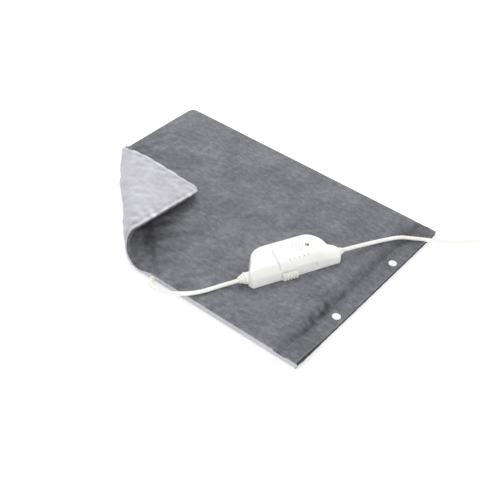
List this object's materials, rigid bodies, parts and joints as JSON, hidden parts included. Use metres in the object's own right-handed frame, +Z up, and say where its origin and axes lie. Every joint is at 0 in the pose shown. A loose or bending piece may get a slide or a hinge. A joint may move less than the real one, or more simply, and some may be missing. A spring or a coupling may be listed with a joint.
{
  "type": "electric heating pad",
  "caption": "Flat rectangular electric heating pad in a fleece cover with a folded-over corner, press stud mouth, in-line slide controller, flat cord and plug.",
  "frame": {"origin": "centre of the pad's underside, on the surface it rests on", "axes": "+X along the 400 mm side to the short side with the press studs, +Y along the 300 mm side away from the folded corner's near edge, +Z up"},
  "size_m": [0.541, 0.4141, 0.038],
  "materials": {
    "fleece_dark": "brushed fleece, dark grey, matt",
    "fabric_light": "smooth knit, light grey, matt",
    "felt": "non-woven felt",
    "casing_white": "satin white moulded plastic",
    "knob_white": "white moulded plastic",
    "stud_white": "white moulded plastic",
    "cord_white": "soft white cable jacket",
    "relief_white": "soft white moulded strain relief",
    "copper": "resistance and copper wire",
    "brass": "plated brass",
    "steel": "plated steel",
    "plug_brass": "nickel plated brass",
    "board": "glass fibre board with solder mask",
    "chips": "moulded component packages",
    "lens": "dark translucent lens",
    "led": "red tinted resin",
    "dark_plastic": "dark moulded plastic",
    "ceramic": "pale moulded body"
  },
  "bodies": {
    "pad": {"cover_top_panel": "fleece_dark", "cover_bottom_panel": "fabric_light", "mat_upper_sheet": "felt", "mat_lower_sheet": "felt", "heating_wire": "copper", "thermal_cutouts": "ceramic", "cord_entry_block": "ceramic", "crimp_sleeves": "steel", "pad_cord": "cord_white", "pad_cord_grommet": "relief_white", "snap_studs": "stud_white", "snap_posts": "stud_white", "controller_upper_shell": "casing_white", "controller_lower_shell": "casing_white", "circuit_board": "board", "board_components": "chips", "thermal_fuse": "steel", "indicator_led": "led", "indicator_lens": "lens", "terminal_block": "dark_plastic", "fixed_contacts": "brass", "detent_spring": "steel", "cord_clamps": "casing_white", "shell_screws": "steel", "strain_relief_pad_side": "relief_white", "strain_relief_mains_side": "relief_white", "conductor_tails": "copper", "mains_cord": "cord_white", "plug_body": "casing_white", "plug_pins": "plug_brass", "plug_pin_sleeves": "dark_plastic", "plug_pin_carrier": "dark_plastic", "plug_cord_relief": "relief_white"},
    "curl_1": {"cover_top_curl_1": "fleece_dark", "cover_bottom_curl_1": "fabric_light", "mat_curl_1": "felt"},
    "curl_2": {"cover_top_curl_2": "fleece_dark", "cover_bottom_curl_2": "fabric_light", "mat_curl_2": "felt"},
    "curl_3": {"cover_top_curl_3": "fleece_dark", "cover_bottom_curl_3": "fabric_light", "mat_curl_3": "felt"},
    "curl_4": {"cover_top_curl_4": "fleece_dark", "cover_bottom_curl_4": "fabric_light", "mat_curl_4": "felt"},
    "corner_flap": {"cover_top_corner": "fleece_dark", "cover_bottom_corner": "fabric_light", "mat_upper_corner": "felt", "mat_lower_corner": "felt", "heating_wire_corner": "copper"},
    "slide_switch": {"slide_knob": "knob_white", "contact_carrier": "dark_plastic", "bridge_contact": "brass"},
    "mouth": {"cover_mouth_hem": "fleece_dark", "snap_caps": "stud_white", "snap_sockets": "stud_white"}
  },
  "joints": [
    {"name": "fold_1", "type": "hinge", "parent": "pad", "child": "curl_1", "pos_m": [-0.1068, -0.06705, 0.005], "axis": [0.747, -0.6648, 0], "range_deg": [0, 28]},
    {"name": "fold_2", "type": "hinge", "parent": "curl_1", "child": "curl_2", "pos_m": [-0.11509, -0.0712, 0.00958], "axis": [0.7352, -0.6778, 0.0093], "range_deg": [0, 32.91]},
    {"name": "fold_3", "type": "hinge", "parent": "curl_2", "child": "curl_3", "pos_m": [-0.11991, -0.07264, 0.01734], "axis": [0.7293, -0.6837, 0.0243], "range_deg": [0, 37.81]},
    {"name": "fold_4", "type": "hinge", "parent": "curl_3", "child": "curl_4", "pos_m": [-0.1204, -0.07053, 0.02522], "axis": [0.7304, -0.682, 0.0371], "range_deg": [0, 42.71]},
    {"name": "fold_5", "type": "hinge", "parent": "curl_4", "child": "corner_flap", "pos_m": [-0.11729, -0.06583, 0.02963], "axis": [0.7341, -0.6777, 0.0416], "range_deg": [0, 47.61]},
    {"name": "switch_slide", "type": "slide", "parent": "pad", "child": "slide_switch", "axis": [0.421, 0.907, 0], "range_m": [0, 0.0246]},
    {"name": "mouth_hem", "type": "hinge", "parent": "pad", "child": "mouth", "pos_m": [0.1787, 0, 0.00485], "axis": [0, -1, 0], "range_deg": [0, 45]}
  ],
  "couplings": [
    {"joint": "fold_2", "follows": "fold_1", "ratio": 1.175},
    {"joint": "fold_3", "follows": "fold_1", "ratio": 1.35},
    {"joint": "fold_4", "follows": "fold_1", "ratio": 1.525},
    {"joint": "fold_5", "follows": "fold_1", "ratio": 1.7}
  ]
}
